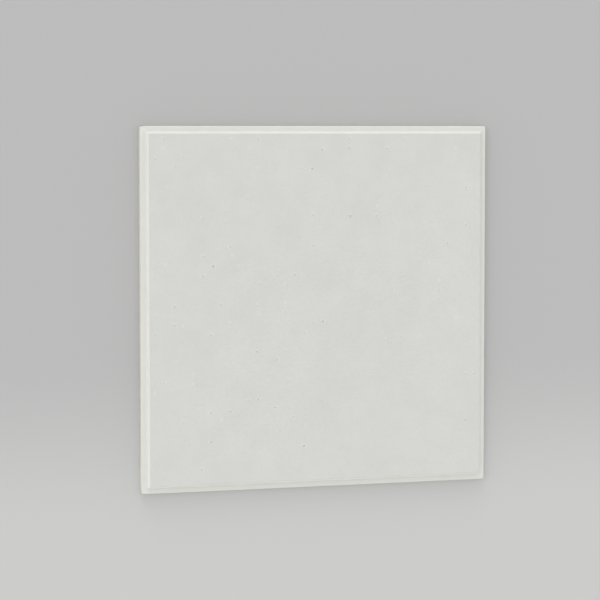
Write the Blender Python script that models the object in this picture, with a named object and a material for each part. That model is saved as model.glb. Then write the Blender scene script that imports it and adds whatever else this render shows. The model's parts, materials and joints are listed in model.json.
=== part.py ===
"""Suspended ceiling tile with a bevelled tegular edge, one felted mineral-fibre board.

The tile drops into a grid of inverted T rails. A flange round its back rests on the rails, and
the body below the flange hangs through the opening between them, so that the finished face
sits lower than the rails. The face meets the body's wall in a bevel.

The tile lies on its back here: the face looks up (+Z), and the origin is the centre of the
back, on the surface that the tile lies on. Lengths are in metres.
"""

import math

import bmesh
import bpy
from mathutils import Vector

INCH = 0.0254

# The grid that the tile fits
GRID_MODULE_X = 24 * INCH  # between the centre lines of two rails
GRID_MODULE_Y = 24 * INCH
RAIL_FACE = 0.9375 * INCH  # width of a rail's flange, seen from the room
PLAY_IN_MODULE = 0.25 * INCH  # the tile is this much smaller than the module
RAIL_CLEARANCE = 0.03125 * INCH  # from the body's wall to the edge of a rail's flange

# The board's section
THICKNESS = 0.75 * INCH
STEP_DEPTH = 0.3125 * INCH  # from the face to the ledge that rests on the rails
BEVEL_WIDTH = 0.125 * INCH
BEVEL_DEPTH = 0.125 * INCH

# Edges and corners, softened by the coating and by handling
FACE_EDGE_RADIUS = 0.0012
BEVEL_EDGE_RADIUS = 0.0008
LEDGE_ROOT_RADIUS = 0.0006
FLANGE_EDGE_RADIUS = 0.0009
BACK_EDGE_RADIUS = 0.0009
FLANGE_CORNER_RADIUS = 0.0016
BODY_CORNER_RADIUS = 0.0010
EDGE_STEPS = 4  # facets in a rounded edge
CORNER_STEPS = 4  # facets in a rounded corner

# Sizes that follow from the grid
FLANGE_SPAN_X = GRID_MODULE_X - PLAY_IN_MODULE
FLANGE_SPAN_Y = GRID_MODULE_Y - PLAY_IN_MODULE
LEDGE_WIDTH = (RAIL_FACE - PLAY_IN_MODULE) / 2 + RAIL_CLEARANCE
LEDGE_HEIGHT = THICKNESS - STEP_DEPTH

COATING_COLOUR = (0.680, 0.687, 0.640, 1.0)
COATING_ROUGHNESS = 0.88


def rounded_edge(before, corner, after, radius):
    """Points of the arc that rounds one corner of the section.

    The radius is no more than the shorter of the two sides has room for.
    """
    to_before = (before - corner).normalized()
    to_after = (after - corner).normalized()
    half_angle = to_before.angle(to_after) / 2
    room = min((before - corner).length, (after - corner).length) / 2
    radius = min(radius, room * math.tan(half_angle))
    tangent_length = radius / math.tan(half_angle)
    centre = corner + (to_before + to_after).normalized() * radius / math.sin(half_angle)
    first = (corner + to_before * tangent_length - centre).normalized()
    last = (corner + to_after * tangent_length - centre).normalized()
    return [centre + radius * first.slerp(last, step / EDGE_STEPS) for step in range(EDGE_STEPS + 1)]


def edge_section():
    """The edge's section from the back to the face, as (inset, height, corner radius).

    Inset is measured inwards from the flange's outer edge. The corner radius is the one that
    the board's outline has at that point of the section.
    """
    centre_of_tile = FLANGE_SPAN_X / 2
    face_inset = LEDGE_WIDTH + BEVEL_WIDTH
    wall_top = THICKNESS - BEVEL_DEPTH
    corners = [
        (0.0, 0.0, BACK_EDGE_RADIUS, FLANGE_CORNER_RADIUS),
        (0.0, LEDGE_HEIGHT, FLANGE_EDGE_RADIUS, FLANGE_CORNER_RADIUS),
        (LEDGE_WIDTH, LEDGE_HEIGHT, LEDGE_ROOT_RADIUS, BODY_CORNER_RADIUS),
        (LEDGE_WIDTH, wall_top, BEVEL_EDGE_RADIUS, BODY_CORNER_RADIUS),
        (face_inset, THICKNESS, FACE_EDGE_RADIUS, BODY_CORNER_RADIUS),
    ]
    points = [Vector((inset, height)) for inset, height, _, _ in corners]
    befores = [Vector((centre_of_tile, 0.0))] + points[:-1]
    afters = points[1:] + [Vector((centre_of_tile, THICKNESS))]
    section = []
    for before, point, after, (_, _, edge_radius, corner_radius) in zip(
        befores, points, afters, corners
    ):
        arc = rounded_edge(before, point, after, edge_radius)
        section += [(place.x, place.y, corner_radius) for place in arc]
    return section


def outline_ring(mesh, inset, height, corner_radius):
    """The board's outline at one point of the section, a rectangle with rounded corners."""
    half_x = FLANGE_SPAN_X / 2 - inset - corner_radius
    half_y = FLANGE_SPAN_Y / 2 - inset - corner_radius
    ring = []
    for quarter, (side_x, side_y) in enumerate(((1, 1), (-1, 1), (-1, -1), (1, -1))):
        for step in range(CORNER_STEPS + 1):
            angle = (quarter + step / CORNER_STEPS) * math.pi / 2
            x = side_x * half_x + corner_radius * math.cos(angle)
            y = side_y * half_y + corner_radius * math.sin(angle)
            ring.append(mesh.verts.new((x, y, height)))
    return ring


def join_rings(mesh, lower, upper):
    """A band of faces between two outlines, facing outwards."""
    for index in range(len(lower)):
        following = (index + 1) % len(lower)
        mesh.faces.new((lower[index], lower[following], upper[following], upper[index]))


def board_mesh():
    """The edge's section carried round the outline, closed by the flat back and the face."""
    mesh = bmesh.new()
    rings = [outline_ring(mesh, *place) for place in edge_section()]
    for lower, upper in zip(rings, rings[1:]):
        join_rings(mesh, lower, upper)
    mesh.faces.new(list(reversed(rings[0])))
    mesh.faces.new(rings[-1])
    data = bpy.data.meshes.new("ceiling_tile")
    mesh.to_mesh(data)
    mesh.free()
    return data


def flat_white_coating():
    """The factory coating on the face and the edges: off-white, dead flat, and not metallic."""
    material = bpy.data.materials.new("flat_white_coating")
    material.use_nodes = True
    shader = material.node_tree.nodes["Principled BSDF"]
    shader.inputs["Base Color"].default_value = COATING_COLOUR
    shader.inputs["Roughness"].default_value = COATING_ROUGHNESS
    shader.inputs["Metallic"].default_value = 0.0
    return material


def clear_scene():
    """Removes what the scene starts with."""
    for item in list(bpy.data.objects):
        bpy.data.objects.remove(item, do_unlink=True)


def build_tile():
    """The whole tile, one solid on its back."""
    data = board_mesh()
    data.materials.append(flat_white_coating())
    data.shade_smooth()
    data.set_sharp_from_angle(angle=math.radians(30))
    tile = bpy.data.objects.new("ceiling_tile", data)
    bpy.context.scene.collection.objects.link(tile)
    return tile


clear_scene()
build_tile()
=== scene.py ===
"""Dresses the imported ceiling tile: its felted board, its coating, and a plain studio round it.

The tile lies on its back with the finished face up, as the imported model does. The board is
made again as one closed mesh with the same edge section, and with what a plain solid lacks:
small dimples and nibs on the face, a slightly uneven coating, rough cut edges and a back that
keeps the mark of the wire that the board was felted on. Lengths are in metres, but the
defaults of the settings are written in millimetres.
"""

import json
import math
from typing import NamedTuple

import bmesh
import bpy
from bpy.props import FloatProperty, FloatVectorProperty, IntProperty, PointerProperty
from mathutils import Matrix, Vector


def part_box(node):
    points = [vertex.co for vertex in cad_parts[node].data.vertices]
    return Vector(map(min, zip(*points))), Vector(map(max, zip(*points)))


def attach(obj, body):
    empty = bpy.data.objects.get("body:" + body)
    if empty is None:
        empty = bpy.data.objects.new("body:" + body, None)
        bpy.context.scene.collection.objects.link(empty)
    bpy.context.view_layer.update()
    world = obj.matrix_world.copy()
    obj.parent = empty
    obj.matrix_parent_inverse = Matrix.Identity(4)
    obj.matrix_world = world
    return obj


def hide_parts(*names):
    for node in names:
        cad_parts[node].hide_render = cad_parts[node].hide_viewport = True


bl_info = {
    "name": "Ceiling Tile Dressing",
    "version": (1, 0, 0),
    "blender": (4, 5, 0),
    "location": "3D View > Sidebar > Ceiling Tile",
    "description": "Makes the felted board, its coating and a plain studio for a ceiling tile",
    "category": "Add Mesh",
}

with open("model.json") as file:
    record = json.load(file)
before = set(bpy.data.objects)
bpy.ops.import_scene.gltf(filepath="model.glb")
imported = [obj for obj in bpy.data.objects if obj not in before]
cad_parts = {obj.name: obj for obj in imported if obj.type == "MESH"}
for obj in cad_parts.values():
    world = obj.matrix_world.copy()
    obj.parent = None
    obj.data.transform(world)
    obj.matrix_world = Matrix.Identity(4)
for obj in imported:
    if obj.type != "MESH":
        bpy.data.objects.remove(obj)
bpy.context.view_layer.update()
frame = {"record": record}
LOWEST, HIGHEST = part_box("ceiling_tile")
SPAN = HIGHEST - LOWEST

MILLIMETRE = 0.001
LEDGE_MIDDLE = next(m["pos_m"] for m in frame["record"]["mounts"] if m["name"] == "ledge_pos_x")
LEDGE_WIDTH = 2 * (HIGHEST.x - LEDGE_MIDDLE[0])
LEDGE_HEIGHT = LEDGE_MIDDLE[2]
ALONG_BOARD = (1.0, 1.0, 0.0)  # times a vector, this drops its height
FACE_ZONE, COATED_ZONE, CUT_ZONE, BACK_ZONE = range(4)
ZONE_FINISHES = ("Face Finish", "Edge Finish", "Cut Finish", "Back Finish")


def from_srgb(*channels):
    """A colour as it shows on a screen, 0 to 255, as the linear values that shaders take."""
    shares = (channel / 255 for channel in channels)
    return tuple(s / 12.92 if s <= 0.04045 else ((s + 0.055) / 1.055) ** 2.4 for s in shares)


def length(name, description, default, least=0):
    """A length that a user may change. Both numbers are in millimetres."""
    return FloatProperty(
        name=name, description=description, default=default * MILLIMETRE,
        min=least * MILLIMETRE, subtype="DISTANCE", unit="LENGTH", precision=5,
    )


def angle(name, description, degrees):
    """An angle that a user may change."""
    return FloatProperty(
        name=name, description=description, default=math.radians(degrees),
        subtype="ANGLE", unit="ROTATION",
    )


def colour(name, description, *srgb):
    """A colour that a user may change."""
    return FloatVectorProperty(
        name=name, description=description, default=from_srgb(*srgb),
        min=0.0, max=1.0, subtype="COLOR",
    )


def amount(name, description, default, most=1.0):
    """A plain number that a user may change."""
    return FloatProperty(name=name, description=description, default=default, min=0.0, max=most)


def count(name, description, default, least=0):
    """A whole number that a user may change."""
    return IntProperty(name=name, description=description, default=default, min=least)


class TileBoardSizes(bpy.types.PropertyGroup):
    """The board's edge section, and the cells that its surfaces are built from."""

    ledge_width: length("Ledge Width", "Of the ledge on the grid", LEDGE_WIDTH / MILLIMETRE)
    ledge_height: length("Ledge Height", "Above the back", LEDGE_HEIGHT / MILLIMETRE)
    bevel_width: length("Bevel Width", "Seen from the front of the face", 3.175)
    bevel_depth: length("Bevel Depth", "From the face to the wall", 3.175)
    face_radius: length("Face Edge Radius", "Where the bevel meets the face", 1.2)
    bevel_radius: length("Bevel Edge Radius", "Where the wall meets the bevel", 0.8)
    root_radius: length("Ledge Root Radius", "Where the ledge meets the wall", 0.6)
    flange_radius: length("Flange Edge Radius", "Of both edges of the flange", 0.9)
    flange_corner: length("Flange Corner Radius", "Of the flange's corners", 1.6)
    body_corner: length("Body Corner Radius", "Of the body's corners", 1.0)
    band_step: length("Band Step", "Between two rows of faces on the edge", 1.6)
    back_step: length("Back Step", "Between two rows of faces round the back", 3.2)
    edge_steps: count("Edge Steps", "Faces across a rounded edge", 4, 2)
    corner_steps: count("Corner Steps", "Faces round a corner", 4, 2)
    blocks: count("Blocks", "Square blocks along one side of the face", 36, 4)
    block_cells: count("Block Cells", "Faces along one side of a block", 5, 2)
    margin: length("Margin", "Between the bevel and the first block", 1.6)


class TileDimples(bpy.types.PropertyGroup):
    """The small dents and nibs that are scattered over the face."""

    seed: count("Seed", "Of all that is random", 7)
    crowd_seed: count("Crowd Seed", "Of the places where dimples are denser", 312)
    dimple_share: amount("Dimple Share", "Share of the blocks that have a dimple", 0.08)
    dimple_radius: length("Dimple Radius", "Half the width of a broad one", 1.9)
    dimple_stretch: amount("Dimple Stretch", "Length of the longest one, beyond its width", 0.6)
    dimple_shift: length("Dimple Shift", "Off the middle of its block, at most", 0.9)
    dimple_depth: length("Dimple Depth", "Of the deepest dimple", 1.0)
    nib_share: amount("Nib Share", "Share of the dimples that stand proud instead", 0.25)
    nib_height: amount("Nib Height", "Against the depth of a dimple", 0.3)
    crowd_spacing: length("Crowd Spacing", "Between places where dimples are denser", 220)
    drift: length("Drift", "The rows of blocks sway by about a third of this at most", 16)
    drift_spacing: length("Drift Spacing", "Between the swings of the rows", 110)


class TileRelief(bpy.types.PropertyGroup):
    """How uneven each surface is. All of it is cut into the board, and none stands proud."""

    seed: count("Seed", "Of all that is random", 7)
    swell_height: length("Swell Height", "Of the face's long swells", 0.14)
    swell_spacing: length("Swell Spacing", "Between the long swells", 55)
    ripple_height: length("Ripple Height", "Of the coating's short ripples", 0.08)
    ripple_spacing: length("Ripple Spacing", "Between the short ripples", 9)
    edge_roughness: length("Edge Roughness", "Of the routed and cut edge", 0.22)
    edge_spacing: length("Edge Spacing", "Between the lumps of the cut edge", 7)
    nick_depth: length("Nick Depth", "Of the deepest nick in an edge", 0.8)
    nick_spacing: length("Nick Spacing", "Between the nicks along an edge", 20)
    bruise_depth: length("Bruise Depth", "Of the worst pressed corner", 1.6)
    bruise_reach: length("Bruise Reach", "From a corner to where it is unharmed", 14)
    back_relief: length("Back Relief", "Of the hollows in the back", 0.35)
    back_spacing: length("Back Spacing", "Between the hollows in the back", 18)


class TileFinish(bpy.types.PropertyGroup):
    """The colours of the coating and of the board."""

    coating: colour("Coating", "On the face", 218, 219, 215)
    coating_shade: colour("Coating Shade", "Where it lies thinner", 212, 213, 208)
    # Painted highlight colour, laid on nibs and on one side of dimple rims
    painted_highlight_colour: colour("Painted Highlight Colour", "Where it gathers", 231, 232, 228)
    # Lighter than the face coating: partly the edge paint's own tone, partly a painted highlight on
    # the bevels
    edge_coating: colour("Edge Coating", "On the bevel and the ledge", 225, 225, 219)
    core: colour("Core", "Of the board where it is cut", 213, 211, 200)
    core_shade: colour("Core Shade", "Of the binder between the fibres", 192, 187, 170)
    back: colour("Back", "Of the bare back", 196, 189, 172)
    back_shade: colour("Back Shade", "Of the bare back's hollows", 168, 160, 142)
    # Also the colour of the painted shade in the middle of each dent
    fleck: colour("Fleck", "Of the specks under the coating", 176, 172, 158)


class TileStudio(bpy.types.PropertyGroup):
    """The camera, the lights and the floor."""

    azimuth: angle("Azimuth", "Of the camera, from the face's normal towards +X", -17.65)
    elevation: angle("Elevation", "Of the camera, from the face's normal towards +Y", 3.93)
    distance: length("Distance", "From the camera to the tile's middle", 4123)
    aim_across: length("Aim Across", "The camera stands this far to its right", -27.0, -1000)
    aim_up: length("Aim Up", "The camera stands this far above its line", 11.7, -1000)
    focal_pixels: amount("Focal Length", "In pixels of a picture 600 pixels wide", 2469.0, 1e5)
    top_level: amount("Top Level", "Share of the face's light from beyond its top", 0.06)
    side_level: amount("Side Level", "Share of the face's light from its left", 0.08)
    world_level: amount("World Level", "Share of the face's light from all round", 0.865)
    horizon_glow: amount("Horizon Glow", "Of the world, added to its level overhead", 1.0, 20.0)
    floor_far: colour("Floor Far", "Beyond the tile's top side", 188, 188, 188)
    # Painted light on the floor before the tile's bottom side, which also lightens the tile's
    # shadow there
    floor_painted_light: colour("Floor Painted Light", "Before the tile's bottom side", 204, 204, 203)
    floor_reach: length("Floor Reach", "From the middle to the floor's end", 30000)
    floor_opening: length("Floor Opening", "Under the tile, in from its edge", 2)


class Wiring:
    """Adds nodes to a tree and joins them. Most calls give the output socket to go on with."""

    def __init__(self, tree, given=None):
        self.tree = tree
        self.given = given

    def make(self, kind, inputs=None, **settings):
        """The new node itself. Its inputs are named or numbered, and take values or sockets."""
        made = self.tree.nodes.new(kind)
        for name, value in settings.items():
            setattr(made, name, value)
        self.fill(made, inputs or {})
        return made

    def fill(self, node, inputs):
        """Gives a node's inputs their values or sockets."""
        for key, value in inputs.items():
            self.set(self.socket(node.inputs, key), value)

    def node(self, kind, inputs=None, output=None, **settings):
        """A new node's named output, or its first one in use."""
        return self.socket(self.make(kind, inputs, **settings).outputs, output)

    def socket(self, sockets, key):
        """The socket with that number or name, or the first one in use."""
        if isinstance(key, int):
            return sockets[key]
        return next(s for s in sockets if s.enabled and key in (None, s.name))

    def set(self, socket, value):
        """Links a socket, or gives it a value."""
        if isinstance(value, bpy.types.NodeSocket):
            self.tree.links.new(value, socket)
        elif socket.type == "RGBA":
            socket.default_value = (*value, 1.0)
        else:
            socket.default_value = value

    def math(self, operation, *values):
        """Arithmetic on numbers."""
        return self.node("ShaderNodeMath", dict(enumerate(values)), operation=operation)

    def times(self, product, *factors):
        """Numbers multiplied, each in turn."""
        for factor in factors:
            product = self.math("MULTIPLY", product, factor)
        return product

    def vector(self, operation, *values):
        """Arithmetic on vectors."""
        return self.node("ShaderNodeVectorMath", dict(enumerate(values)), operation=operation)

    def scaled(self, vector, factor):
        """A vector times a number."""
        inputs = {"Vector": vector, "Scale": factor}
        return self.node("ShaderNodeVectorMath", inputs, operation="SCALE")

    def axes(self, vector):
        """The three numbers of a vector."""
        return self.make("ShaderNodeSeparateXYZ", {0: vector}).outputs[:3]

    def from_axes(self, x=0.0, y=0.0, z=0.0):
        """A vector of three numbers."""
        return self.node("ShaderNodeCombineXYZ", {"X": x, "Y": y, "Z": z})

    def stretch(self, value, low, high, to_low=0.0, to_high=1.0, **settings):
        """A value carried from one range into another, and held to it."""
        names = ("Value", "From Min", "From Max", "To Min", "To Max")
        inputs = dict(zip(names, (value, low, high, to_low, to_high)))
        return self.node("ShaderNodeMapRange", inputs, **settings)

    def noise(self, vector, spacing, detail=2.0, roughness=0.5, distortion=0.0, output="Fac"):
        """Cloudy noise from 0 to 1, its clouds about as far apart as the spacing."""
        inputs = {
            "Vector": vector, "Scale": self.math("DIVIDE", 1.0, spacing), "Detail": detail,
            "Roughness": roughness, "Distortion": distortion,
        }
        return self.node("ShaderNodeTexNoise", inputs, output)

    def seeded(self, position, seed):
        """A place lifted by a seed, where noise is another one."""
        return self.vector("ADD", position, self.from_axes(z=seed))

    def mix(self, factor, first, second):
        """Two colours mixed."""
        inputs = {"Factor": factor, "A": first, "B": second}
        return self.node("ShaderNodeMix", inputs, data_type="RGBA")

    def position(self):
        """Where each point of the mesh is, in Geometry Nodes."""
        return self.node("GeometryNodeInputPosition")

    def carried(self, name, data_type="FLOAT"):
        """What the mesh carries under a name, in Geometry Nodes."""
        return self.node("GeometryNodeInputNamedAttribute", {"Name": name}, data_type=data_type)

    def joined(self, *parts):
        """Meshes or instances as one, in Geometry Nodes."""
        made = self.make("GeometryNodeJoinGeometry")
        for part in parts:
            self.set(made.inputs[0], part)
        return made.outputs[0]

    def finish(self, value):
        """Joins the group's output and lays the nodes out."""
        self.make("NodeGroupOutput", {0: value})
        lay_out(self.tree)
        return self.tree


COLUMN_WIDTH, ROW_HEIGHT = 220, 240  # of the nodes as they are laid out


def lay_out(tree):
    """Puts the nodes in columns, each to the right of all that it reads."""
    column = {node: 0 for node in tree.nodes}
    for _ in tree.nodes:
        for link in tree.links:
            column[link.to_node] = max(column[link.to_node], column[link.from_node] + 1)
    filled = {}
    for node, place in column.items():
        filled[place] = filled.get(place, 0) + 1
        node.location = (COLUMN_WIDTH * place, -ROW_HEIGHT * filled[place])


SOCKET_KINDS = {
    type(None): "Geometry", int: "Int", float: "Float", tuple: "Vector",
    bpy.types.Object: "Object", bpy.types.Material: "Material",
}


def new_group(name, kind, inputs, outputs):
    """A node group. The defaults tell its sockets' kinds, and None stands for geometry."""
    tree = bpy.data.node_groups.new(name, kind)
    for in_out, sockets in (("INPUT", inputs), ("OUTPUT", outputs)):
        for label, default in sockets.items():
            socket_type = "NodeSocket" + SOCKET_KINDS[type(default)]
            made = tree.interface.new_socket(name=label, in_out=in_out, socket_type=socket_type)
            if default is not None:
                made.default_value = default
    start = tree.nodes.new("NodeGroupInput")
    return Wiring(tree, {socket.name: socket for socket in start.outputs})


class SectionPoint(NamedTuple):
    """A point of the edge's section, measured in from the flange's edge and up from the back."""

    inset: float
    height: float
    corner_radius: float
    arris: float  # 1 on the crest of a bare edge, 0 on a flat
    zone: int  # of the faces from this point to the next


def rounded_edge(before, corner, after, radius, steps):
    """Points of the arc that rounds one corner of the section."""
    ways = [(end - corner).normalized() for end in (before, after)]
    half_angle = ways[0].angle(ways[1]) / 2
    tangent_length = radius / math.tan(half_angle)
    centre = corner + (ways[0] + ways[1]).normalized() * radius / math.sin(half_angle)
    first, last = ((corner + way * tangent_length - centre).normalized() for way in ways)
    return [centre + radius * first.slerp(last, step / steps) for step in range(steps + 1)]


def edge_section(sizes):
    """The section from the back to the face, its corners rounded and its flats divided."""
    face_inset = sizes.ledge_width + sizes.bevel_width
    wall_top = SPAN.z - sizes.bevel_depth
    flange, body = sizes.flange_corner, sizes.body_corner
    corners = [
        # inset, height, radius, outline's corner radius, wear, zone
        (0.0, 0.0, sizes.flange_radius, flange, 1.0, CUT_ZONE),
        (0.0, sizes.ledge_height, sizes.flange_radius, flange, 1.0, COATED_ZONE),
        (sizes.ledge_width, sizes.ledge_height, sizes.root_radius, body, 0.0, COATED_ZONE),
        (sizes.ledge_width, wall_top, sizes.bevel_radius, body, 0.8, COATED_ZONE),
        (face_inset, SPAN.z, sizes.face_radius, body, 0.5, FACE_ZONE),
    ]
    points = [(face_inset, 0.0), *(corner[:2] for corner in corners), (SPAN.x / 2, SPAN.z)]
    points = [Vector(point) for point in points]
    section = [SectionPoint(face_inset, 0.0, flange, 0.0, BACK_ZONE)]
    for *bend, corner in zip(points, points[1:], points[2:], corners):
        _, _, radius, outline_radius, wear, zone = corner
        arc = rounded_edge(*bend, radius, sizes.edge_steps)
        longest = sizes.back_step if section[-1].zone == BACK_ZONE else sizes.band_step
        section += flat_points(section[-1], arc[0], longest)
        for step, place in enumerate(arc):
            crest = wear * math.sin(math.pi * step / sizes.edge_steps)
            section.append(SectionPoint(*place, outline_radius, crest, zone))
    return section


def flat_points(last, goal, longest):
    """Points that divide the flat from the last point of the section to the next arc."""
    start = Vector((last.inset, last.height))
    steps = math.ceil((goal - start).length / longest)
    places = [start.lerp(goal, step / steps) for step in range(1, steps)]
    return [last._replace(inset=p.x, height=p.y, arris=0.0) for p in places]


def outline_points(half, cells, corner_radius=0.0, corner_steps=0):
    """A rectangle, anticlockwise from the side at +X: each side's cells, then its corner."""
    for side in range(4):
        outward = Vector(((1, 0), (0, 1), (-1, 0), (0, -1))[side])
        forward = outward.orthogonal()  # a quarter turn on
        reach_out = half[side % 2] - corner_radius
        reach_on = half[1 - side % 2] - corner_radius
        for cell in range(cells):
            along = forward * reach_on * (2 * cell / cells - 1)
            yield outward * (reach_out + corner_radius) + along
        for step in range(corner_steps):
            turn = math.pi / 2 * step / corner_steps
            arc = outward * math.cos(turn) + forward * math.sin(turn)
            yield outward * reach_out + forward * reach_on + arc * corner_radius


def add_object(name, data):
    """A new object in the scene."""
    made = bpy.data.objects.new(name, data)
    bpy.context.scene.collection.objects.link(made)
    return made


DIMPLE_RINGS = (0.3, 0.6, 0.85, 1.0, 1.2, 1.5)  # as shares of the dimple's radius
RIM_RADIUS, RIM_WIDTH = 1.2, 0.28  # of a dimple's raised rim, as shares of its radius
RIM_HEIGHT = 0.14  # as a share of the dimple's depth
OUTER_RING = 0.78  # of half a block: the last ring round a dimple, which hardly moves
OUTER_REACH = 0.25


def dimple_sink(share):
    """How deep a dimple is at a share of its radius, as a share of its depth."""
    bowl = (1 - share**2) ** 2 if share < 1 else 0.0
    return bowl - RIM_HEIGHT * math.exp(-(((share - RIM_RADIUS) / RIM_WIDTH) ** 2))


class BoardMesh:
    """A mesh of board under way: the edge and the back with an open face, or a block of it."""

    def __init__(self, sizes):
        self.sizes = sizes
        self.cells = sizes.blocks * sizes.block_cells
        inset = sizes.ledge_width + sizes.bevel_width + sizes.margin
        self.field_half = (SPAN.x / 2 - inset, SPAN.y / 2 - inset)
        self.mesh = bmesh.new()
        self.zone = self.mesh.faces.layers.int.new("zone")
        self.run = self.mesh.loops.layers.uv.new("board_run")
        self.weights = {
            name: self.mesh.verts.layers.float.new(name)
            for name in ("on_face", "on_edge", "on_back", "arris", "sink", "reach")
        }
        self.spoke = self.mesh.verts.layers.float_vector.new("spoke")

    def point(self, x, y, z, **weights):
        """A vertex with its weights."""
        made = self.mesh.verts.new((x, y, z))
        for name, value in weights.items():
            made[self.weights[name]] = value
        return made

    def face(self, corners, zone, runs):
        """A face with its zone, and the place of each corner in the pattern."""
        made = self.mesh.faces.new(corners)
        made[self.zone] = zone
        for loop, run in zip(made.loops, runs):
            loop[self.run].uv = run

    def flat_face(self, corners, zone):
        """A face that looks down on the back, or else up. Its pattern lies flat over the board."""
        corners = corners[::-1] if zone == BACK_ZONE else corners
        self.face(corners, zone, [corner.co.xy for corner in corners])

    def outline(self, half, height, cells, *corner, **weights):
        """A rectangle of vertices. Its corners are sharp, or have a radius and steps."""
        places = outline_points(half, cells, *corner)
        return [self.point(*place, height, **weights) for place in places]

    def add_grid(self, half, height, cells, zone, **weights):
        """A rectangle of cells."""
        steps = [2 * cell / cells - 1 for cell in range(cells + 1)]
        rows = [[self.point(half[0] * x, half[1] * y, height, **weights) for x in steps]
                for y in steps]
        for low, high in zip(rows, rows[1:]):
            for cell in range(cells):
                self.flat_face((low[cell], low[cell + 1], high[cell + 1], high[cell]), zone)

    def add_band(self):
        """Carries the edge's section round the outline. Returns its first and last rings."""
        section = edge_section(self.sizes)
        rings = [self.ring(place) for place in section]
        columns = len(rings[0])
        run = 2 * (SPAN.x + SPAN.y) / columns
        height = 0.0
        for lower, upper, place, next_place in zip(rings, rings[1:], section, section[1:]):
            top = height + math.dist(place[:2], next_place[:2])
            for index in range(columns):
                near, far = index * run, (index + 1) * run
                following = (index + 1) % columns
                corners = (lower[index], lower[following], upper[following], upper[index])
                runs = ((near, height), (far, height), (far, top), (near, top))
                self.face(corners, place.zone, runs)
            height = top
        return rings[0], rings[-1]

    def ring(self, place):
        """One turn of the outline at a point of the section."""
        half = (SPAN.x / 2 - place.inset, SPAN.y / 2 - place.inset)
        corner = (place.corner_radius, self.sizes.corner_steps)
        weights = {"on_back" if place.zone == BACK_ZONE else "on_edge": 1.0, "arris": place.arris}
        return self.outline(half, place.height, self.cells, *corner, **weights)

    def add_rim(self, ring, height, cells, zone, **weights):
        """Faces from a rounded ring in to the sharp-cornered field, whose cells may be longer."""
        border = self.outline(self.field_half, height, cells, **weights)
        per_side = len(ring) // 4
        stride = self.cells // cells
        for side in range(4):
            outer = [ring[(side * per_side + k) % len(ring)] for k in range(per_side + 1)]
            inner = [border[(side * cells + k) % len(border)] for k in range(cells + 1)]
            for cell in range(cells):
                near = outer[cell * stride : (cell + 1) * stride + 1]
                self.flat_face([*near, inner[cell + 1], inner[cell]], zone)
            corner = outer[self.cells :]
            for first, second in zip(corner, corner[1:]):
                self.flat_face([first, second, inner[-1]], zone)

    def add_dimple_block(self, half, radius):
        """A block in rings of cells round the middle, to be pressed into a dimple."""
        outer = self.outline(half, 0.0, self.sizes.block_cells, on_face=1.0)
        spokes = [vertex.co.xy.normalized() for vertex in outer]
        rows = [(radius * share, radius * share, 1.0, dimple_sink(share)) for share in DIMPLE_RINGS]
        rows.append((OUTER_RING * min(half), radius * DIMPLE_RINGS[-1], OUTER_REACH, 0.0))
        rings = [*(self.dimple_ring(spokes, *row) for row in rows), outer]
        middle = self.point(0.0, 0.0, 0.0, on_face=1.0, reach=1.0, sink=dimple_sink(0.0))
        for index in range(len(outer)):
            following = (index + 1) % len(outer)
            self.flat_face((middle, rings[0][index], rings[0][following]), FACE_ZONE)
            for near, far in zip(rings, rings[1:]):
                corners = (near[index], far[index], far[following], near[following])
                self.flat_face(corners, FACE_ZONE)

    def dimple_ring(self, spokes, radius, spoke_length, reach, sink):
        """A ring of vertices that know their way out from the middle."""
        ring = []
        for spoke in spokes:
            made = self.point(*(spoke * radius), 0.0, on_face=1.0, reach=reach, sink=sink)
            made[self.spoke] = (*(spoke * spoke_length), 0.0)
            ring.append(made)
        return ring

    def to_object(self, name):
        """The mesh as an object in the scene."""
        data = bpy.data.meshes.new(name)
        self.mesh.to_mesh(data)
        self.mesh.free()
        return add_object(name, data)


# Each random number of a dimple has its own draw, numbered from 1 in this order
DRAWS = ("dimpled", "proud", "depth", "widening", "length", "darkness", "lie", "aside", "ahead")
CROWD_CLOUD = (0.35, 0.65)  # the crowding noise, from its thin places to its dense ones
CROWD_CHANCE = (0.15, 1.9)  # of a dimple there, against the mean
SHALLOWEST = 0.4  # against the deepest dimple
PALEST = 0.3  # of the random number whose square sets how dark a dent's painted shade is
WIDENING = (-0.45, 0.15)  # of the narrowest and the broadest dimple, against the radius
WOBBLE_SPACING = 1.8  # between the lobes of a dimple's outline, against its radius
WOBBLE = 0.5  # of the outline, against its radius
RIM_HIGHLIGHT = 5.0  # how much more painted highlight a rim gets for its height than a nib does
BORDER_HOLD = 0.035  # how far from the face's border the rows of blocks are held straight
MERGE_DISTANCE = 0.02 * MILLIMETRE


def drawn(w, name, low=0.0, high=1.0):
    """A random number for each block."""
    seed = w.math("ADD", w.given["Seed"], 1 + DRAWS.index(name))
    return w.node("FunctionNodeRandomValue", {"Min": low, "Max": high, "Seed": seed})


def block_middles(w):
    """A point on the face for the middle of each block."""
    across, along, _ = w.axes(w.given["Field Size"])
    blocks = w.given["Blocks"]
    share = w.math("SUBTRACT", 1.0, w.math("DIVIDE", 1.0, blocks))
    inputs = {"Size X": w.times(across, share), "Size Y": w.times(along, share),
              "Vertices X": blocks, "Vertices Y": blocks}
    middles = w.node("GeometryNodeMeshGrid", inputs)
    lift = w.from_axes(z=w.given["Face Height"])
    return w.node("GeometryNodeSetPosition", {"Geometry": middles, "Offset": lift})


def chosen_blocks(w):
    """Which blocks have a dimple, more of them where dimples crowd."""
    place = w.seeded(w.position(), w.given["Crowd Seed"])
    crowd = w.noise(place, w.given["Crowd Spacing"], 1.0)
    chance = w.times(w.given["Dimple Share"], w.stretch(crowd, *CROWD_CLOUD, *CROWD_CHANCE))
    return w.math("LESS_THAN", drawn(w, "dimpled"), chance)


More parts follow.
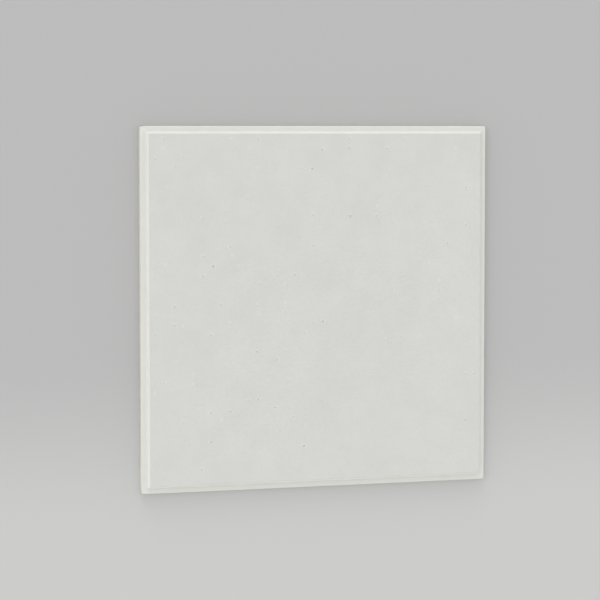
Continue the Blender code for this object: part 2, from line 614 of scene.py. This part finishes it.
def dimple_traits(w):
    """What each dimple is like."""
    proud = w.math("LESS_THAN", drawn(w, "proud"), w.given["Nib Share"])
    direction = w.stretch(proud, 0.0, 1.0, 1.0, w.times(w.given["Nib Height"], -1.0))
    depth = w.times(drawn(w, "depth", SHALLOWEST), w.given["Dimple Depth"])
    lie = drawn(w, "lie", 0.0, math.pi)
    aside = w.from_axes(drawn(w, "aside", -1.0), drawn(w, "ahead", -1.0))
    # How dark each dent's painted shade is
    dark = w.math("POWER", drawn(w, "darkness", PALEST), 2.0)
    return {
        "Depth": w.times(depth, direction),
        "Widening": drawn(w, "widening", *WIDENING),
        "Lengthening": w.times(drawn(w, "length"), w.given["Dimple Stretch"]),
        "Pore": w.times(dark, w.math("SUBTRACT", 1.0, proud)),
        "Nib": proud,
        "Lie": w.from_axes(w.math("COSINE", lie), w.math("SINE", lie)),
        "Shift": w.scaled(aside, w.given["Dimple Shift"]),
    }


def kept_on_points(w, points, traits):
    """The points, and each trait as they carry it on to the blocks."""
    made = w.make("GeometryNodeCaptureAttribute", {"Geometry": points})
    for name, value in traits.items():
        made.capture_items.new("VECTOR" if value.type == "VECTOR" else "FLOAT", name)
    w.fill(made, traits)
    return made.outputs


def placed_blocks(w, points, dimpled):
    """A plain block or one for a dimple on each point, as one mesh."""
    placed = []
    plain = w.math("SUBTRACT", 1.0, dimpled)
    for block, chosen in (("Plain Block", plain), ("Dimple Block", dimpled)):
        shape = w.node("GeometryNodeObjectInfo", {"Object": w.given[block]}, "Geometry")
        inputs = {"Points": points, "Selection": chosen, "Instance": shape}
        placed.append(w.node("GeometryNodeInstanceOnPoints", inputs))
    return w.node("GeometryNodeRealizeInstances", {"Geometry": w.joined(*placed)})


def dimple_offset(w, traits, spoke, along_lie, sink):
    """How a dimple is shifted, widened, drawn out along its own lie, and pressed in."""
    wobble_spacing = w.times(w.given["Dimple Radius"], WOBBLE_SPACING)
    wobble = w.math("SUBTRACT", w.noise(w.position(), wobble_spacing, 0.0), 0.5)
    widening = w.math("MULTIPLY_ADD", wobble, WOBBLE, traits["Widening"])
    lengthening = w.times(along_lie, traits["Lengthening"])
    grown = w.vector("ADD", w.scaled(spoke, widening), w.scaled(traits["Lie"], lengthening))
    moved = w.scaled(w.vector("ADD", grown, traits["Shift"]), w.carried("reach"))
    return w.vector("SUBTRACT", moved, w.from_axes(z=w.times(sink, traits["Depth"])))


def row_sway(w):
    """How the rows of blocks sway a little, but not at the face's border."""
    sway = w.noise(w.position(), w.given["Drift Spacing"], 1.0, output="Color")
    sway = w.vector("MULTIPLY", w.vector("SUBTRACT", sway, (0.5, 0.5, 0.5)), ALONG_BOARD)
    half = w.scaled(w.given["Field Size"], 0.5)
    to_border = w.vector("SUBTRACT", half, w.vector("ABSOLUTE", w.position()))
    beside, above, _ = w.axes(to_border)
    free = w.stretch(w.math("MINIMUM", beside, above), 0.0, BORDER_HOLD)
    return w.scaled(sway, w.times(free, w.given["Drift"]))


def dimple_marks(w, traits, along_lie, sink):
    """Painted shade in the middle of each dent, and a painted highlight on nibs and on one side of
    a rim.
    """
    middle = w.math("MAXIMUM", sink, 0.0)
    side = w.math("DIVIDE", along_lie, w.given["Dimple Radius"])
    rim = w.times(w.math("MAXIMUM", side, 0.0), w.math("MINIMUM", sink, 0.0))
    gathered = w.math("MULTIPLY_ADD", rim, -RIM_HIGHLIGHT, w.times(middle, traits["Nib"]))
    return {"pore": w.times(middle, traits["Pore"]), "gathered": gathered}


def dimpled_face_tree(values):
    """Geometry Nodes that lay blocks over the face, some with a dimple, and join the edge on."""
    inputs = {"Edge and Back": None, **values}
    w = new_group("dimpled_face", "GeometryNodeTree", inputs, {"Board": None})
    traits = kept_on_points(w, block_middles(w), dimple_traits(w))
    face = placed_blocks(w, traits["Geometry"], chosen_blocks(w))
    spoke, sink = w.carried("spoke", "FLOAT_VECTOR"), w.carried("sink")
    along_lie = w.vector("DOT_PRODUCT", spoke, traits["Lie"])
    offset = w.vector("ADD", dimple_offset(w, traits, spoke, along_lie, sink), row_sway(w))
    face = w.node("GeometryNodeSetPosition", {"Geometry": face, "Offset": offset})
    # Stores each dimple's painted shade and painted highlight on the face
    for name, mark in dimple_marks(w, traits, along_lie, sink).items():
        inputs = {"Geometry": face, "Name": name, "Value": mark}
        face = w.node("GeometryNodeStoreNamedAttribute", inputs, domain="POINT")
    inputs = {"Geometry": w.joined(face, w.given["Edge and Back"]), "Distance": MERGE_DISTANCE}
    return w.finish(w.node("GeometryNodeMergeByDistance", inputs))


NICK_CLOUD = (0.62, 0.80)  # the noise from where a nick starts to its deepest place
CRUMB_SPACING = 4.0 * MILLIMETRE  # between the crumbs of a pressed corner
CRUMB_CLOUD = (0.3, 0.7)
CRUMB_SHARES = (0.6, 1.0)  # of a pressed corner's depth, between crumbs and at them


def corner_bruise(w, place):
    """How deep each corner of the flange is pressed in, by its own amount."""
    flat = w.vector("MULTIPLY", w.position(), ALONG_BOARD)
    corner = w.vector("MULTIPLY", w.scaled(w.given["Board Size"], 0.5), ALONG_BOARD)
    distance = w.vector("LENGTH", w.vector("SUBTRACT", w.vector("ABSOLUTE", flat), corner))
    nearness = w.stretch(distance, w.given["Bruise Reach"], 0.0)
    which = w.seeded(w.vector("SIGN", flat), w.given["Seed"])
    lot = w.node("ShaderNodeTexWhiteNoise", {"Vector": which}, "Value")
    crumble = w.stretch(w.noise(place, CRUMB_SPACING), *CRUMB_CLOUD, *CRUMB_SHARES)
    return w.times(lot, w.given["Bruise Depth"], crumble, w.math("POWER", nearness, 2.0))


def felted_board_tree(values):
    """Geometry Nodes that make each surface of the board uneven and give it its finish."""
    inputs = {"Board": None, **values}
    w = new_group("felted_board", "GeometryNodeTree", inputs, {"Board": None})
    place = w.seeded(w.position(), w.given["Seed"])

    def hollows(height, spacing, detail):
        return w.times(w.noise(place, w.given[spacing], detail), w.given[height])

    swell = w.math("ADD", hollows("Swell Height", "Swell Spacing", 1.0),
                   hollows("Ripple Height", "Ripple Spacing", 2.0))
    nick = w.stretch(w.noise(place, w.given["Nick Spacing"], 0.0), *NICK_CLOUD)
    depths = {
        "on_face": swell,
        "on_edge": hollows("Edge Roughness", "Edge Spacing", 3.0),
        "on_back": hollows("Back Relief", "Back Spacing", 2.0),
        "arris": w.times(nick, w.given["Nick Depth"]),
    }
    sunk = corner_bruise(w, place)
    for weight, depth in depths.items():
        sunk = w.math("MULTIPLY_ADD", depth, w.carried(weight), sunk)
    inwards = w.scaled(w.node("GeometryNodeInputNormal"), w.times(sunk, -1.0))
    board = w.node("GeometryNodeSetPosition", {"Geometry": w.given["Board"], "Offset": inwards})
    board = w.node("GeometryNodeSetShadeSmooth", {"Geometry": board})
    board = w.node("GeometryNodeRealizeInstances", {"Geometry": board})
    zone = w.carried("zone", "INT")
    for number, finish in enumerate(ZONE_FINISHES):
        chosen = w.node("FunctionNodeCompare", {"A": zone, "B": number},
                        data_type="INT", operation="EQUAL")
        inputs = {"Geometry": board, "Selection": chosen, "Material": w.given[finish]}
        board = w.node("GeometryNodeSetMaterial", inputs)
    return w.finish(board)


def settings_of(group):
    """The settings of a property group under their names."""
    properties = group.bl_rna.properties
    return {properties[key].name: getattr(group, key) for key in group.__annotations__}


def add_nodes_modifier(target, build_tree, values):
    """A Geometry Nodes modifier whose tree has these values as its inputs."""
    tree = build_tree(values)
    modifier = target.modifiers.new(tree.name, "NODES")
    modifier.node_group = tree
    for item in tree.interface.items_tree:
        if item.in_out == "INPUT" and item.name in values:
            modifier[item.identifier] = values[item.name]


PATCH_SWING = 0.25  # of the noise round its middle, at full softness
STRAND_LIES = (0.4, 1.5, 2.5)  # the directions of the strands, as angles
STRAND_SLIMNESS = (1.0, 0.12, 1.0)  # draws the noise out along a strand
STRAND_SPACING = 1.25  # against the size of a grain
STRAND_CLOUD = (0.62, 0.76)  # the noise from a strand's foot to its crest
FLECK_CORE = 0.6  # of a fleck's size, inside which it is at its full tone
WORN_CLOUD = (0.48, 0.66)  # the noise from sound coating to bare board


def shader_group(name, output, **settings):
    """A shader node group that reads a vector and some numbers and puts out one number."""
    numbers = {label.replace("_", " "): default for label, default in settings.items()}
    inputs = {"Vector": (0.0, 0.0, 0.0), **numbers}
    return new_group(name, "ShaderNodeTree", inputs, {output: 0.0})


def mottling_group():
    """Soft patches, from 0 to 1, where the coating or the pulp lies thinner."""
    w = shader_group("mottling", "Mask", Patch_Size=0.05, Softness=0.5)
    cloud = w.noise(w.given["Vector"], w.given["Patch Size"], detail=3.0, roughness=0.55)
    swing = w.times(w.given["Softness"], PATCH_SWING)
    low, high = w.math("SUBTRACT", 0.5, swing), w.math("ADD", 0.5, swing)
    return w.finish(w.stretch(cloud, low, high))


def grain_group():
    """Fine sandy grain crossed by short strands, as a height from 0 to about 2."""
    w = shader_group("felt_grain", "Height", Grain_Size=0.0012, Strands=0.5)
    vector, size = w.given["Vector"], w.given["Grain Size"]
    height = w.noise(vector, size, detail=2.0, roughness=0.6)
    for lie in STRAND_LIES:
        turned = w.node("ShaderNodeVectorRotate", {"Vector": vector, "Angle": lie},
                        rotation_type="Z_AXIS")
        drawn_out = w.vector("MULTIPLY", turned, STRAND_SLIMNESS)
        spacing = w.times(size, STRAND_SPACING)
        strand = w.noise(drawn_out, spacing, detail=1.0, distortion=0.6)
        ridge = w.stretch(strand, *STRAND_CLOUD)
        height = w.math("MULTIPLY_ADD", ridge, w.given["Strands"], height)
    return w.finish(height)


def fleck_group():
    """Sparse round flecks, from 0 to 1."""
    w = shader_group("flecks", "Mask", Spacing=0.012, Fleck_Size=0.0007, Share=0.4)
    spacing, size = w.given["Spacing"], w.given["Fleck Size"]
    inputs = {"Vector": w.given["Vector"], "Scale": w.math("DIVIDE", 1.0, spacing)}
    cells = w.make("ShaderNodeTexVoronoi", inputs).outputs
    distance = w.times(cells["Distance"], spacing)
    spot = w.stretch(distance, size, w.times(size, FLECK_CORE))
    lot, _, _ = w.axes(cells["Color"])
    return w.finish(w.times(spot, w.math("LESS_THAN", lot, w.given["Share"])))


def worn_group():
    """Where the coating is rubbed off an edge, from 0 to 1."""
    w = shader_group("worn_arris", "Mask", Arris=0.0, Break_Size=0.01, Amount=0.5)
    broken = w.noise(w.given["Vector"], w.given["Break Size"], detail=3.0, roughness=0.6)
    bare = w.stretch(broken, *WORN_CLOUD)
    return w.finish(w.times(bare, w.given["Arris"], w.given["Amount"]))


GLOSS = 0.25  # the specular level of every finish: all of them are dead flat
ROUTED_RUN = (0.08, 1.0, 1.0)  # draws the routed edge's marks out along it
LAYERED_RUN = (0.10, 1.0, 1.0)  # draws the pulp's layers out along the edge
WIRE_SCALE = 130.0  # of the forming wire's mesh


class Finish:
    """A material under way: its wiring, its shader and its coordinates."""

    def __init__(self, name):
        self.material = bpy.data.materials.new(name)
        self.material.use_nodes = True
        self.w = Wiring(self.material.node_tree)
        self.shader = self.w.tree.nodes["Principled BSDF"]
        self.place = self.w.node("ShaderNodeTexCoord", output="Object")

    def run(self, scale):
        """The way along the edge and up its section, scaled."""
        way = self.w.node("ShaderNodeUVMap", uv_map="board_run")
        return self.w.vector("MULTIPLY", way, scale)

    def group(self, name, vector, **values):
        """A shared node group in this material, with this material's own values."""
        inputs = {key.replace("_", " "): value for key, value in values.items()}
        tree = bpy.data.node_groups[name]
        return self.w.node("ShaderNodeGroup", {"Vector": vector, **inputs}, node_tree=tree)

    def attribute(self, name):
        """A number that the board's mesh carries."""
        return self.w.node("ShaderNodeAttribute", output="Fac", attribute_name=name)

    def coats(self, base, *coats):
        """A colour with others laid over it, each by its mask and a share of it."""
        for mask, share, over in coats:
            base = self.w.mix(self.w.times(mask, share), base, over)
        return base

    def done(self, base, reliefs, dullness, smoothest, roughest):
        """The material, given its colour, its bumps and where it is rough, and how rough.

        Each of the reliefs is a height and its depth in millimetres.
        """
        normal = {}
        for height, depth in reliefs:
            inputs = {"Height": height, "Distance": depth * MILLIMETRE, "Strength": 1.0}
            normal = {"Normal": self.w.node("ShaderNodeBump", {**inputs, **normal})}
        roughness = self.w.stretch(dullness, 0.0, 1.0, smoothest, roughest)
        looks = {"Base Color": base, "Roughness": roughness, "Specular IOR Level": GLOSS}
        self.w.fill(self.shader, {**looks, **normal})
        lay_out(self.w.tree)
        return self.material


def face_coating(colours):
    """The finished face: a flat white coating over fine fleece, with a few specks under it, and
    painted shade and highlights on its dimples and nibs.
    """
    f = Finish("face_coating")
    thin = f.group("mottling", f.place, Patch_Size=0.05, Softness=0.8)
    sandy = f.group("mottling", f.place, Patch_Size=0.0022, Softness=0.8)
    flecks = f.group("flecks", f.place, Spacing=0.016, Fleck_Size=0.0007, Share=0.2)
    # Painted highlight on nibs and on one side of dimple rims
    gathered = f.attribute("gathered")
    base = f.coats(
        colours.coating,
        (thin, 1.0, colours.coating_shade),
        (sandy, 0.7, colours.coating_shade),
        (flecks, 0.35, colours.fleck),
        # Painted shade in the middle of each dent, in the fleck colour
        (f.attribute("pore"), 0.8, colours.fleck),
        # Painted highlight on nibs and rims
        (gathered, 0.7, colours.painted_highlight_colour),
    )
    grain = f.group("felt_grain", f.place, Grain_Size=0.0014, Strands=0.3)
    dullness = f.w.math("SUBTRACT", sandy, gathered)
    return f.done(base, [(grain, 0.45)], dullness, smoothest=0.82, roughest=0.95)


def edge_coating(colours):
    """The wall, the ledge and the bevel, routed and coated, and rubbed along the edges. Their
    lighter tone is partly a painted highlight.
    """
    f = Finish("edge_coating")
    thin = f.group("mottling", f.place, Patch_Size=0.02, Softness=0.8)
    arris = f.attribute("arris")
    worn = f.group("worn_arris", f.place, Arris=arris, Break_Size=0.012, Amount=0.7)
    base = f.coats(colours.edge_coating, (thin, 0.4, colours.coating), (worn, 1.0, colours.core))
    marks = f.group("felt_grain", f.run(ROUTED_RUN), Grain_Size=0.0011, Strands=0.3)
    grain = f.group("felt_grain", f.place, Grain_Size=0.0014, Strands=0.3)
    reliefs = [(marks, 0.12), (grain, 0.14)]
    return f.done(base, reliefs, f.w.math("MAXIMUM", thin, worn), smoothest=0.84, roughest=0.96)


def cut_board(colours):
    """The flange's cut side: cream pulp in flat layers, with a little coating on it."""
    f = Finish("cut_board")
    layered = f.run(LAYERED_RUN)
    layers = f.group("mottling", layered, Patch_Size=0.0022, Softness=0.9)
    sprayed = f.group("mottling", f.place, Patch_Size=0.014, Softness=1.2)
    flecks = f.group("flecks", f.place, Spacing=0.004, Fleck_Size=0.0007, Share=0.4)
    base = f.coats(
        colours.core,
        (layers, 0.5, colours.core_shade),
        (sprayed, 0.5, colours.edge_coating),
        (flecks, 0.5, colours.core_shade),
    )
    strata = f.group("felt_grain", layered, Grain_Size=0.0012, Strands=0.5)
    grain = f.group("felt_grain", f.place, Grain_Size=0.0018, Strands=0.6)
    reliefs = [(strata, 0.22), (grain, 0.25)]
    return f.done(base, reliefs, f.w.math("SUBTRACT", 1.0, sprayed), smoothest=0.88, roughest=0.97)


def bare_back(colours):
    """The bare back: tan pulp with the mark of the forming wire pressed into it."""
    f = Finish("bare_back")
    hollows = f.group("mottling", f.place, Patch_Size=0.03, Softness=0.8)
    specks = f.group("mottling", f.place, Patch_Size=0.003, Softness=0.6)
    flecks = f.group("flecks", f.place, Spacing=0.007, Fleck_Size=0.0009, Share=0.5)
    base = f.coats(
        colours.back,
        (hollows, 0.6, colours.back_shade),
        (specks, 0.35, colours.core),
        (flecks, 0.5, colours.back_shade),
    )
    inputs = {"Vector": f.place, "Scale": WIRE_SCALE, "Distortion": 0.6, "Detail": 1.0}
    wires = [f.w.node("ShaderNodeTexWave", inputs, "Fac", bands_direction=direction)
             for direction in ("X", "Y")]
    grain = f.group("felt_grain", f.place, Grain_Size=0.0022, Strands=0.7)
    reliefs = [(f.w.times(*wires), 0.6), (grain, 0.30)]
    return f.done(base, reliefs, hollows, smoothest=0.92, roughest=0.99)


def apply_modifiers(thing):
    """Turns what the modifiers make into the object's plain mesh."""
    graph = bpy.context.evaluated_depsgraph_get()
    plain = bpy.data.meshes.new_from_object(
        thing.evaluated_get(graph), preserve_all_data_layers=True, depsgraph=graph
    )
    rough = thing.data
    thing.modifiers.clear()
    thing.data = plain
    bpy.data.meshes.remove(rough)


def check_closed(thing):
    """Raises an error if the mesh has an open or a doubled edge, or is inside out."""
    mesh = bmesh.new()
    mesh.from_mesh(thing.data)
    closed = all(len(edge.link_faces) == 2 for edge in mesh.edges)
    volume = mesh.calc_volume(signed=True)
    mesh.free()
    if not closed or volume <= 0:
        raise RuntimeError(f"{thing.name} is open or inside out")


class TILE_OT_board(bpy.types.Operator):
    """Make the felted board, with its dimpled face, stepped edge and bare back"""

    bl_idname = "ceiling_tile.board"
    bl_label = "Make Board"
    bl_options = {"REGISTER", "UNDO"}

    def execute(self, context):
        scene = context.scene
        sizes, dimples, colours = scene.tile_board, scene.tile_dimples, scene.tile_finish
        edge = BoardMesh(sizes)
        half = edge.field_half
        back_ring, face_ring = edge.add_band()
        edge.add_rim(back_ring, 0.0, edge.cells // 2, BACK_ZONE, on_back=1.0)
        edge.add_grid(half, 0.0, edge.cells // 2, BACK_ZONE, on_back=1.0)
        edge.add_rim(face_ring, SPAN.z, edge.cells, FACE_ZONE, on_face=1.0)
        board = edge.to_object("tile_board")

        block_half = (half[0] / sizes.blocks, half[1] / sizes.blocks)
        plain, dimpled = BoardMesh(sizes), BoardMesh(sizes)
        plain.add_grid(block_half, 0.0, sizes.block_cells, FACE_ZONE, on_face=1.0)
        dimpled.add_dimple_block(block_half, dimples.dimple_radius)
        blocks = [plain.to_object("plain_block"), dimpled.to_object("dimple_block")]

        add_nodes_modifier(board, dimpled_face_tree, {
            **settings_of(dimples), "Plain Block": blocks[0], "Dimple Block": blocks[1],
            "Blocks": sizes.blocks, "Field Size": (2 * half[0], 2 * half[1], 0.0),
            "Face Height": SPAN.z,
        })
        finishes = [make(colours) for make in (face_coating, edge_coating, cut_board, bare_back)]
        add_nodes_modifier(board, felted_board_tree, {
            **settings_of(scene.tile_relief), "Board Size": tuple(SPAN),
            **dict(zip(ZONE_FINISHES, finishes)),
        })
        apply_modifiers(board)
        for block in blocks:
            bpy.data.meshes.remove(block.data)  # which removes the object too
        check_closed(board)
        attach(board, "root")
        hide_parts("ceiling_tile")
        return {"FINISHED"}


PICTURE_WIDTH = 600  # in pixels
TOP_LIGHT = (-0.20, 0.93, 0.28)  # the directions that the lights come from
SIDE_LIGHT = (-0.70, 0.15, 0.60)
TOP_SOFTNESS, SIDE_SOFTNESS = 30, 40  # how wide the lights look, in degrees
GLOW_FALL = 3.0  # how fast the world's glow falls off above the horizon, as a power
PAPER_ROUGHNESS, PAPER_GLOSS = 0.9, 0.1
PAPER_CHANGE = (-0.06, -0.38)  # where the far tone ends along Y, and where the painted light before the tile is full
PAPER_FADE = (4.0, 0.6)  # how far out the painted light is gone, and how far in it is full


def add_camera(studio):
    """The camera, which looks down on the tile from the left of its middle."""
    data = bpy.data.cameras.new("camera")
    data.lens = data.sensor_width * studio.focal_pixels / PICTURE_WIDTH
    middle = Matrix.Translation((0.0, 0.0, SPAN.z / 2))
    turn = Matrix.Rotation(studio.azimuth, 4, "Y") @ Matrix.Rotation(-studio.elevation, 4, "X")
    away = Matrix.Translation((studio.aim_across, studio.aim_up, studio.distance))
    camera = add_object("camera", data)
    camera.matrix_world = middle @ turn @ away
    bpy.context.scene.camera = camera


def add_sun(name, direction, softness, level):
    """A soft light that gives the face a share of its light, from a direction."""
    direction = Vector(direction).normalized()
    data = bpy.data.lights.new(name, "SUN")
    data.angle = math.radians(softness)
    data.energy = math.pi * level / direction.z
    turn = direction.to_track_quat("Z", "Y")
    add_object(name, data).rotation_euler = turn.to_euler()


def set_world(studio):
    """Even light from all round, brighter towards the horizon, and the floor's far colour seen."""
    world = bpy.data.worlds.new("studio")
    world.use_nodes = True
    bpy.context.scene.world = world
    w = Wiring(world.node_tree)
    _, _, up = w.axes(w.node("ShaderNodeTexCoord", output="Generated"))
    from_zenith = w.math("SUBTRACT", 1.0, w.math("ABSOLUTE", up))
    glow = w.math("POWER", from_zenith, GLOW_FALL)
    # What the glow adds on a face that looks up: its mean, weighted by the cosine
    glow_share = studio.horizon_glow * 2 / ((GLOW_FALL + 1) * (GLOW_FALL + 2))
    overhead = studio.world_level / (1 + glow_share)
    strength = w.math("MULTIPLY_ADD", glow, overhead * studio.horizon_glow, overhead)
    lighting = w.tree.nodes["Background"]
    w.fill(lighting, {"Color": (1.0, 1.0, 1.0), "Strength": strength})
    seen = w.node("ShaderNodeBackground", {"Color": studio.floor_far})
    rays = w.make("ShaderNodeLightPath").outputs
    direct = w.math("MAXIMUM", rays["Is Camera Ray"], rays["Is Glossy Ray"])
    direct = w.math("MAXIMUM", direct, rays["Is Transmission Ray"])
    both = w.node("ShaderNodeMixShader", {0: direct, 1: lighting.outputs[0], 2: seen})
    w.fill(w.tree.nodes["World Output"], {"Surface": both})
    lay_out(w.tree)


def floor_paper(studio):
    """Pale paper with painted light before the tile, a little lighter there, that can't be seen
    from below.
    """
    f = Finish("floor_paper")
    w = f.w
    _, towards, _ = w.axes(f.place)
    # Painted light: the floor is lighter before the tile's bottom side
    near = w.stretch(towards, *PAPER_CHANGE, interpolation_type="SMOOTHSTEP")
    around = w.stretch(w.vector("LENGTH", f.place), *PAPER_FADE)
    base = w.mix(w.times(near, around), studio.floor_far, studio.floor_painted_light)
    looks = {"Base Color": base, "Roughness": PAPER_ROUGHNESS, "Specular IOR Level": PAPER_GLOSS}
    w.fill(f.shader, looks)
    below = w.node("ShaderNodeNewGeometry", output="Backfacing")
    clear = w.node("ShaderNodeBsdfTransparent")
    both = w.node("ShaderNodeMixShader", {0: below, 1: f.shader.outputs[0], 2: clear})
    w.fill(w.tree.nodes["Material Output"], {"Surface": both})
    lay_out(w.tree)
    return f.material


def add_floor(studio):
    """The pale floor: a wide flat frame, whose opening the tile covers."""
    data = bpy.data.meshes.new("floor")
    reach, opening = studio.floor_reach, studio.floor_opening
    halves = ((reach, reach), (HIGHEST.x - opening, HIGHEST.y - opening))
    corners = [(*place, 0.0) for half in halves for place in outline_points(half, 1)]
    sides = [(k, (k + 1) % 4, (k + 1) % 4 + 4, k + 4) for k in range(4)]
    data.from_pydata(corners, [], sides)
    data.materials.append(floor_paper(studio))
    add_object("floor", data)


class TILE_OT_studio(bpy.types.Operator):
    """Set up the camera, the lights, the world and the pale floor"""

    bl_idname = "ceiling_tile.studio"
    bl_label = "Set Up Studio"
    bl_options = {"REGISTER", "UNDO"}

    def execute(self, context):
        studio = context.scene.tile_studio
        context.scene.view_settings.view_transform = "Standard"
        add_camera(studio)
        add_sun("top_light", TOP_LIGHT, TOP_SOFTNESS, studio.top_level)
        add_sun("side_light", SIDE_LIGHT, SIDE_SOFTNESS, studio.side_level)
        set_world(studio)
        add_floor(studio)
        return {"FINISHED"}


class TILE_OT_shared_patterns(bpy.types.Operator):
    """Build the node groups that the finishes share"""

    bl_idname = "ceiling_tile.shared_patterns"
    bl_label = "Build Shared Patterns"
    bl_options = {"REGISTER", "UNDO"}

    def execute(self, context):
        for build in (mottling_group, grain_group, fleck_group, worn_group):
            build()
        return {"FINISHED"}


class TILE_PT_panel(bpy.types.Panel):
    """The steps that dress the tile, and their settings"""

    bl_idname = "TILE_PT_panel"
    bl_label = "Ceiling Tile"
    bl_space_type = "VIEW_3D"
    bl_region_type = "UI"
    bl_category = "Ceiling Tile"

    def draw(self, context):
        for operator, settings in STEPS:
            box = self.layout.box()
            box.operator(operator.bl_idname)
            for name in settings:
                group = getattr(context.scene, name)
                for key in group.__annotations__:
                    box.prop(group, key)


SETTINGS = {
    "tile_board": TileBoardSizes,
    "tile_dimples": TileDimples,
    "tile_relief": TileRelief,
    "tile_finish": TileFinish,
    "tile_studio": TileStudio,
}
STEPS = (
    (TILE_OT_studio, ("tile_studio",)),
    (TILE_OT_shared_patterns, ()),
    (TILE_OT_board, ("tile_board", "tile_dimples", "tile_relief", "tile_finish")),
)
CLASSES = (*SETTINGS.values(), *(operator for operator, _ in STEPS), TILE_PT_panel)


def register():
    for item in CLASSES:
        bpy.utils.register_class(item)
    for name, group in SETTINGS.items():
        setattr(bpy.types.Scene, name, PointerProperty(type=group))


def unregister():
    for name in SETTINGS:
        delattr(bpy.types.Scene, name)
    for item in reversed(CLASSES):
        bpy.utils.unregister_class(item)


def main():
    register()
    bpy.ops.ceiling_tile.studio()
    bpy.ops.ceiling_tile.shared_patterns()
    bpy.ops.ceiling_tile.board()


if __name__ == "__main__":
    main()
